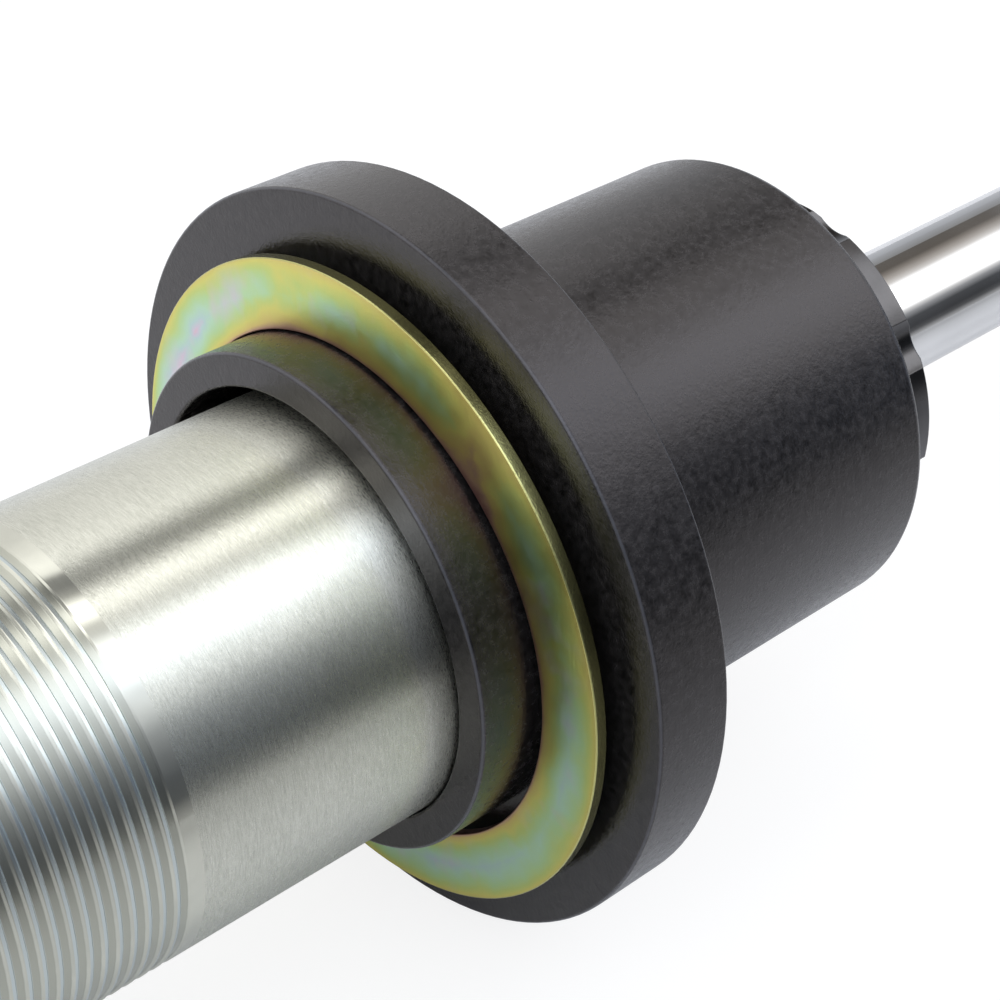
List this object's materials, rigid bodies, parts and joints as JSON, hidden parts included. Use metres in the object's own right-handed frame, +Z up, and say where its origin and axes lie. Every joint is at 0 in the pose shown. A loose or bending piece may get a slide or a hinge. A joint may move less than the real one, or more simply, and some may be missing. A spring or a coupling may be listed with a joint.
{
  "type": "coilover shock absorber",
  "caption": "Mono-tube coilover shock with a threaded body, preload collar, flanged spring slider on the tube, chromed rod and a spherical bearing eye at each end.",
  "frame": {"origin": "centre of the body eye's bearing", "axes": "+X along the damper's axis towards the rod, +Y along the eye bores, +Z up as the shock lies"},
  "size_m": [0.753, 0.1143, 0.1143],
  "materials": {
    "zinc_steel": "bright zinc plate over fine turned steel",
    "black_sleeve": "satin black machined plastic",
    "yellow_zinc": "yellow chromate over zinc, iridescent",
    "black_anodised": "semi-gloss black anodised",
    "clear_anodised": "satin clear anodised",
    "chrome": "hard chrome, ground and polished",
    "bearing_steel": "ground bearing steel",
    "black_oxide": "black oxide",
    "bronze": "sintered bronze",
    "band": "filled fluoropolymer",
    "seal_rubber": "matte nitrile rubber",
    "urethane": "satin urethane",
    "shim_steel": "blued spring steel"
  },
  "bodies": {
    "damper_body": {"body_tube": "zinc_steel", "end_cap": "black_anodised", "end_cap_seal": "seal_rubber", "gas_valve": "bearing_steel", "gas_valve_cap": "black_anodised", "body_bearing_race": "bearing_steel", "body_bearing_circlips": "shim_steel", "seal_head": "clear_anodised", "seal_head_o_ring": "seal_rubber", "rod_bush": "bronze", "rod_seal": "seal_rubber", "rod_wiper": "seal_rubber", "notched_cap_nut": "black_anodised"},
    "body_swivel": {"body_bearing_ball": "bearing_steel"},
    "body_mount_spacers": {"body_eye_spacers": "zinc_steel"},
    "floater": {"floating_piston": "clear_anodised", "floating_piston_seal": "seal_rubber", "floating_piston_band": "band"},
    "rod": {"piston_rod": "chrome", "piston": "clear_anodised", "piston_band": "band", "compression_shims": "shim_steel", "rebound_shims": "shim_steel", "backing_plate": "bearing_steel", "piston_nut": "bearing_steel", "top_out_spacer": "urethane", "rod_spring_seat": "clear_anodised", "bump_stop": "urethane", "rod_eye": "black_anodised", "rod_bearing_race": "bearing_steel", "rod_bearing_circlips": "shim_steel"},
    "rod_swivel": {"rod_bearing_ball": "bearing_steel"},
    "rod_mount_spacers": {"rod_eye_spacers": "zinc_steel"},
    "slider": {"spring_slider": "black_sleeve"},
    "loose_washer": {"slider_washer": "yellow_zinc"},
    "preload_washer": {"preload_seat_washer": "yellow_zinc"},
    "preload_collar": {"preload_nut": "black_anodised", "preload_pinch_screw": "black_oxide"}
  },
  "joints": [
    {"name": "rod_slide", "type": "slide", "parent": "damper_body", "child": "rod", "axis": [1, 0, 0], "range_m": [-0.1812, 0]},
    {"name": "floater_slide", "type": "slide", "parent": "damper_body", "child": "floater", "axis": [1, 0, 0], "range_m": [-0.028, 0]},
    {"name": "slider_slide", "type": "slide", "parent": "damper_body", "child": "slider", "axis": [1, 0, 0], "range_m": [-0.085, 0.012]},
    {"name": "loose_washer_slide", "type": "slide", "parent": "slider", "child": "loose_washer", "axis": [1, 0, 0], "range_m": [-0.0086, 0.0026]},
    {"name": "preload_washer_slide", "type": "slide", "parent": "damper_body", "child": "preload_washer", "axis": [1, 0, 0], "range_m": [-0.02127, 0.02127]},
    {"name": "preload_collar_turn", "type": "hinge", "parent": "preload_washer", "child": "preload_collar", "pos_m": [0.2285, 0, 0], "axis": [1, 0, 0], "range_deg": [-3600, 3600]},
    {"name": "body_ball_tilt", "type": "hinge", "parent": "damper_body", "child": "body_swivel", "pos_m": [0, 0, 0], "axis": [0, 0, 1], "range_deg": [-8, 8]},
    {"name": "body_bolt_turn", "type": "hinge", "parent": "body_swivel", "child": "body_mount_spacers", "pos_m": [0, 0, 0], "axis": [0, 1, 0], "continuous": true},
    {"name": "rod_ball_tilt", "type": "hinge", "parent": "rod", "child": "rod_swivel", "pos_m": [0.70504, 0, 0], "axis": [0, 0, 1], "range_deg": [-8, 8]},
    {"name": "rod_bolt_turn", "type": "hinge", "parent": "rod_swivel", "child": "rod_mount_spacers", "pos_m": [0.70504, 0, 0], "axis": [0, 1, 0], "continuous": true}
  ],
  "couplings": [
    {"joint": "floater_slide", "follows": "rod_slide", "ratio": 0.1509},
    {"joint": "preload_washer_slide", "follows": "preload_collar_turn", "m_per_rad": 0.00033688}
  ]
}
